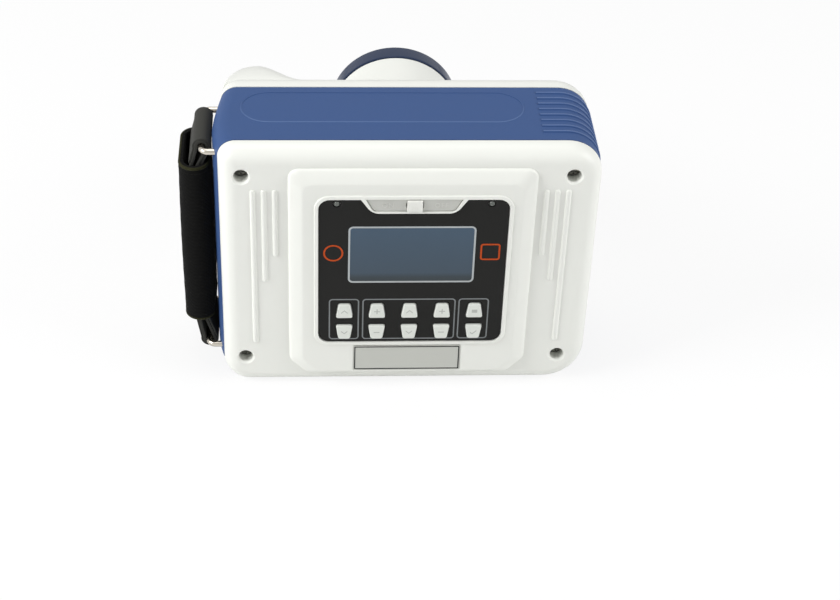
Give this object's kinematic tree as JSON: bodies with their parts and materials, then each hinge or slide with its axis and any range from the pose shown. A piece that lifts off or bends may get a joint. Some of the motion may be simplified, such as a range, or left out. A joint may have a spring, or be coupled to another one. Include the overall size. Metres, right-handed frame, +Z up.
{
  "type": "intraoral x-ray unit",
  "caption": "Hand-held intraoral x-ray unit: two shells round a middle band, aiming cone with end ring, key panel with display, slide switch, grip bulge with trigger and hand strap.",
  "frame": {"origin": "middle of the base footprint of the middle band, on the surface the unit stands on", "axes": "+Z up, +Y along the beam away from the operator, +X to the operator's right"},
  "size_m": [0.1934, 0.1407, 0.1343],
  "materials": {
    "white_shell": "satin off-white moulding",
    "blue_band": "fine matt texture",
    "navy_ring": "gloss",
    "panel": "satin film",
    "display_glass": "clear over a dark display",
    "component": "moulded",
    "circuit_board": "solder mask",
    "recess_grey": "fine texture",
    "zinc_steel": "zinc plated",
    "lamp_lens": "clear lens, unlit",
    "bare_plate": "satin",
    "lead": "dull",
    "rubber": "matt",
    "aluminium": "satin",
    "tube_glass": "clear",
    "copper": "enamelled wire",
    "brass": "turned",
    "nickel": "nickel plated wire",
    "webbing": "woven",
    "pad_fabric": "foam-backed knit",
    "slider_white": "satin",
    "key_grey": "satin"
  },
  "bodies": {
    "housing": {"rear_shell": "white_shell", "middle_band": "blue_band", "front_shell": "white_shell", "housing_screw_1": "zinc_steel", "housing_screw_2": "zinc_steel", "housing_screw_3": "zinc_steel", "housing_screw_4": "zinc_steel", "control_panel": "panel", "display_window": "display_glass", "display_module": "component", "key_board": "circuit_board", "driver_board": "circuit_board", "switch_plate": "recess_grey", "slide_switch": "zinc_steel", "power_lamp": "lamp_lens", "exposure_lamp": "lamp_lens", "name_plate": "bare_plate", "cone_barrel": "white_shell", "cone_end_ring": "navy_ring", "cone_liner": "lead", "cone_seal": "rubber", "beam_collimator": "lead", "beam_filter": "aluminium", "tank_body": "aluminium", "tank_lid": "aluminium", "xray_tube": "tube_glass", "high_voltage_coil": "copper", "battery_pack": "component", "buzzer": "component", "trigger_switch": "component", "trigger_bracket": "zinc_steel", "charging_inlet": "component", "tripod_bush": "brass", "strap_bail_top": "nickel", "strap_bail_low": "nickel", "bail_plate_top": "zinc_steel", "bail_plate_low": "zinc_steel", "strap_webbing": "webbing", "strap_pad": "pad_fabric"},
    "key_01": {"key_01": "key_grey"},
    "key_02": {"key_02": "key_grey"},
    "key_03": {"key_03": "key_grey"},
    "key_04": {"key_04": "key_grey"},
    "key_05": {"key_05": "key_grey"},
    "key_06": {"key_06": "key_grey"},
    "key_07": {"key_07": "key_grey"},
    "key_08": {"key_08": "key_grey"},
    "key_09": {"key_09": "key_grey"},
    "key_10": {"key_10": "key_grey"},
    "power_slider": {"power_slider": "slider_white"},
    "exposure_trigger": {"exposure_trigger": "blue_band"}
  },
  "joints": [
    {"name": "key_01_press", "type": "slide", "parent": "housing", "child": "key_01", "axis": [0, 1, 0], "range_m": [0, 0.0006], "stiffness_N_per_m": 1500, "springref_m": -0.0002},
    {"name": "key_02_press", "type": "slide", "parent": "housing", "child": "key_02", "axis": [0, 1, 0], "range_m": [0, 0.0006], "stiffness_N_per_m": 1500, "springref_m": -0.0002},
    {"name": "key_03_press", "type": "slide", "parent": "housing", "child": "key_03", "axis": [0, 1, 0], "range_m": [0, 0.0006], "stiffness_N_per_m": 1500, "springref_m": -0.0002},
    {"name": "key_04_press", "type": "slide", "parent": "housing", "child": "key_04", "axis": [0, 1, 0], "range_m": [0, 0.0006], "stiffness_N_per_m": 1500, "springref_m": -0.0002},
    {"name": "key_05_press", "type": "slide", "parent": "housing", "child": "key_05", "axis": [0, 1, 0], "range_m": [0, 0.0006], "stiffness_N_per_m": 1500, "springref_m": -0.0002},
    {"name": "key_06_press", "type": "slide", "parent": "housing", "child": "key_06", "axis": [0, 1, 0], "range_m": [0, 0.0006], "stiffness_N_per_m": 1500, "springref_m": -0.0002},
    {"name": "key_07_press", "type": "slide", "parent": "housing", "child": "key_07", "axis": [0, 1, 0], "range_m": [0, 0.0006], "stiffness_N_per_m": 1500, "springref_m": -0.0002},
    {"name": "key_08_press", "type": "slide", "parent": "housing", "child": "key_08", "axis": [0, 1, 0], "range_m": [0, 0.0006], "stiffness_N_per_m": 1500, "springref_m": -0.0002},
    {"name": "key_09_press", "type": "slide", "parent": "housing", "child": "key_09", "axis": [0, 1, 0], "range_m": [0, 0.0006], "stiffness_N_per_m": 1500, "springref_m": -0.0002},
    {"name": "key_10_press", "type": "slide", "parent": "housing", "child": "key_10", "axis": [0, 1, 0], "range_m": [0, 0.0006], "stiffness_N_per_m": 1500, "springref_m": -0.0002},
    {"name": "power_slide", "type": "slide", "parent": "housing", "child": "power_slider", "axis": [1, 0, 0], "range_m": [-0.0025, 0.0025]},
    {"name": "exposure_press", "type": "slide", "parent": "housing", "child": "exposure_trigger", "axis": [0, -1, 0], "range_m": [0, 0.002], "stiffness_N_per_m": 800, "springref_m": -0.0005}
  ]
}
